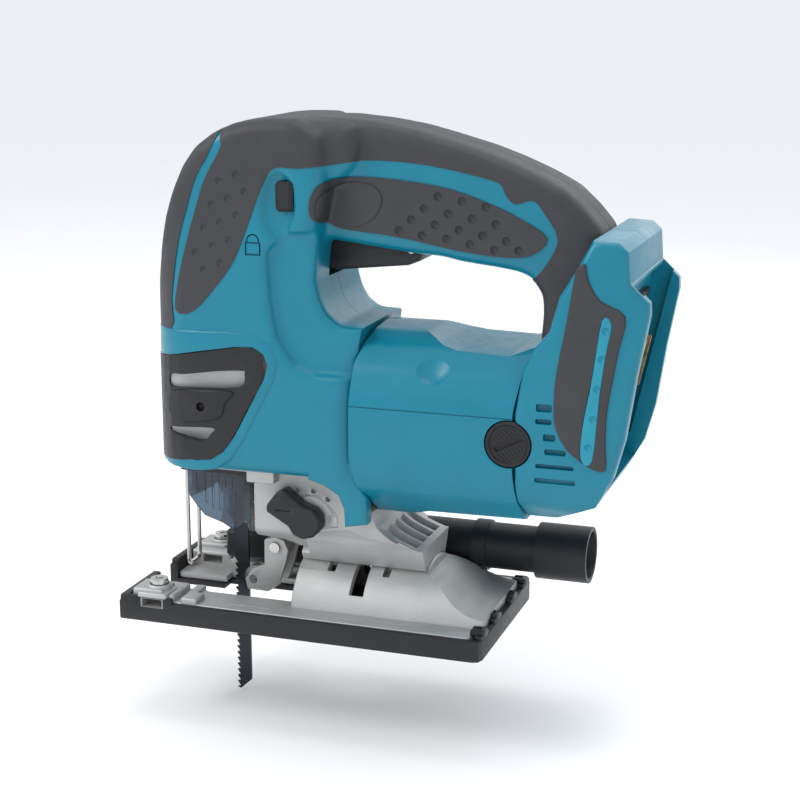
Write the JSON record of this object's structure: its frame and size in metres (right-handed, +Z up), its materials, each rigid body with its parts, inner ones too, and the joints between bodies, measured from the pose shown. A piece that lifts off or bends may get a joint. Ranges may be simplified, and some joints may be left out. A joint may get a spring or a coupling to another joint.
{
  "type": "cordless jigsaw",
  "caption": "Cordless top-handle jigsaw body with a tilting base, orbital blade drive, roller retainer, trigger and dust nozzle.",
  "frame": {"origin": "on the sole's underside, at the middle of the base's length and in the plane of the blade", "axes": "+X to the rear (the saw cuts towards -X), +Z up, -Y the tool's left side"},
  "size_m": [0.2086, 0.0793, 0.2403],
  "materials": {
    "teal": "moulded teal glass-filled nylon, satin",
    "rubber": "soft charcoal overmould",
    "black": "black moulded plastic",
    "cast": "die-cast, bead-blasted",
    "steel": "ground steel",
    "dark_steel": "blued or blackened steel",
    "copper": "copper windings and segments",
    "brass": "stamped brass",
    "clear": "clear tinted polycarbonate",
    "carbon": "dark sintered"
  },
  "bodies": {
    "housing": {"bearing_carrier": "black", "brush_cap_left": "black", "brush_cap_right": "black", "brush_holder_left": "brass", "brush_holder_right": "brass", "carbon_brush_left": "carbon", "carbon_brush_right": "carbon", "front_bearing": "steel", "gear_housing": "cast", "gear_shaft": "steel", "housing_left": "teal", "housing_right": "teal", "housing_screw_1": "dark_steel", "housing_screw_2": "dark_steel", "housing_screw_3": "dark_steel", "housing_screw_4": "dark_steel", "magnet_lower": "carbon", "magnet_upper": "carbon", "motor_housing": "teal", "motor_yoke": "steel", "nose_bumper": "rubber", "overmould_left": "rubber", "overmould_right": "rubber", "rear_bearing": "steel", "release_pin": "steel", "retainer_pin": "steel", "side_pad_left": "rubber", "side_pad_right": "rubber", "switch_body": "black", "terminal_blades": "brass", "terminal_block": "black", "tilt_bolt": "dark_steel", "tilt_washer": "steel", "trigger_pin": "steel", "wire_guard": "steel"},
    "motor_armature": {"armature_core": "copper", "armature_shaft": "steel", "commutator": "copper", "cooling_fan": "black", "pinion": "steel"},
    "gear": {"drive_gear": "steel", "counterweight": "cast"},
    "guide": {"ram_guide": "cast"},
    "ram": {"ram": "steel", "blade_clamp": "dark_steel", "blade": "dark_steel"},
    "retainer": {"blade_retainer": "cast", "roller_pin": "steel"},
    "roller": {"blade_roller": "steel"},
    "orbit_lever": {"orbit_lever": "black", "orbit_shaft": "steel"},
    "release_lever": {"blade_release_lever": "black"},
    "chip_cover": {"chip_cover": "clear"},
    "base": {"base_plate": "cast", "sole_cover": "black", "fence_screw_left": "dark_steel", "fence_screw_right": "dark_steel", "dust_nozzle": "black"},
    "trigger": {"trigger": "black"},
    "lock_button": {"lock_button": "black"}
  },
  "joints": [
    {"name": "motor_spin", "type": "hinge", "parent": "housing", "child": "motor_armature", "pos_m": [0.05, 0, 0.0848], "axis": [1, 0, 0], "continuous": true},
    {"name": "gear_spin", "type": "hinge", "parent": "housing", "child": "gear", "pos_m": [-0.0105, 0, 0.1078], "axis": [1, 0, 0], "continuous": true},
    {"name": "orbit_swing", "type": "hinge", "parent": "housing", "child": "guide", "pos_m": [-0.038, 0, 0.134], "axis": [0, 1, 0], "range_deg": [0, 1.2]},
    {"name": "ram_stroke", "type": "slide", "parent": "guide", "child": "ram", "axis": [0, 0, 1], "range_m": [-0.013, 0.013]},
    {"name": "retainer_swing", "type": "hinge", "parent": "housing", "child": "retainer", "pos_m": [-0.0206, 0, 0.0259], "axis": [0, 1, 0], "range_deg": [-0.1, 10]},
    {"name": "roller_spin", "type": "hinge", "parent": "retainer", "child": "roller", "pos_m": [-0.0306, 0, 0.0111], "axis": [0, 1, 0], "continuous": true},
    {"name": "orbit_select", "type": "hinge", "parent": "housing", "child": "orbit_lever", "pos_m": [0.0006, -0.02, 0.0443], "axis": [0, 1, 0], "range_deg": [0, 102]},
    {"name": "blade_release", "type": "hinge", "parent": "housing", "child": "release_lever", "pos_m": [-0.05, 0.0283, 0.0862], "axis": [0, 0, 1], "range_deg": [-75, 0]},
    {"name": "chip_cover_slide", "type": "slide", "parent": "housing", "child": "chip_cover", "axis": [0, 0, 1], "range_m": [0, 0.011]},
    {"name": "bevel_tilt", "type": "hinge", "parent": "housing", "child": "base", "pos_m": [0.02, 0, 0], "axis": [1, 0, 0], "range_deg": [-45, 0]},
    {"name": "trigger_pull", "type": "hinge", "parent": "housing", "child": "trigger", "pos_m": [0.039, 0, 0.151], "axis": [0, 1, 0], "range_deg": [0, 7], "stiffness_Nm_per_rad": 0.8, "springref_deg": -2.86},
    {"name": "lock_slide", "type": "slide", "parent": "housing", "child": "lock_button", "axis": [0, 1, 0], "range_m": [0, 0.003]}
  ],
  "couplings": [
    {"joint": "gear_spin", "follows": "motor_spin", "ratio": -0.27778},
    {"joint": "retainer_swing", "follows": "orbit_swing", "ratio": 7.7}
  ]
}
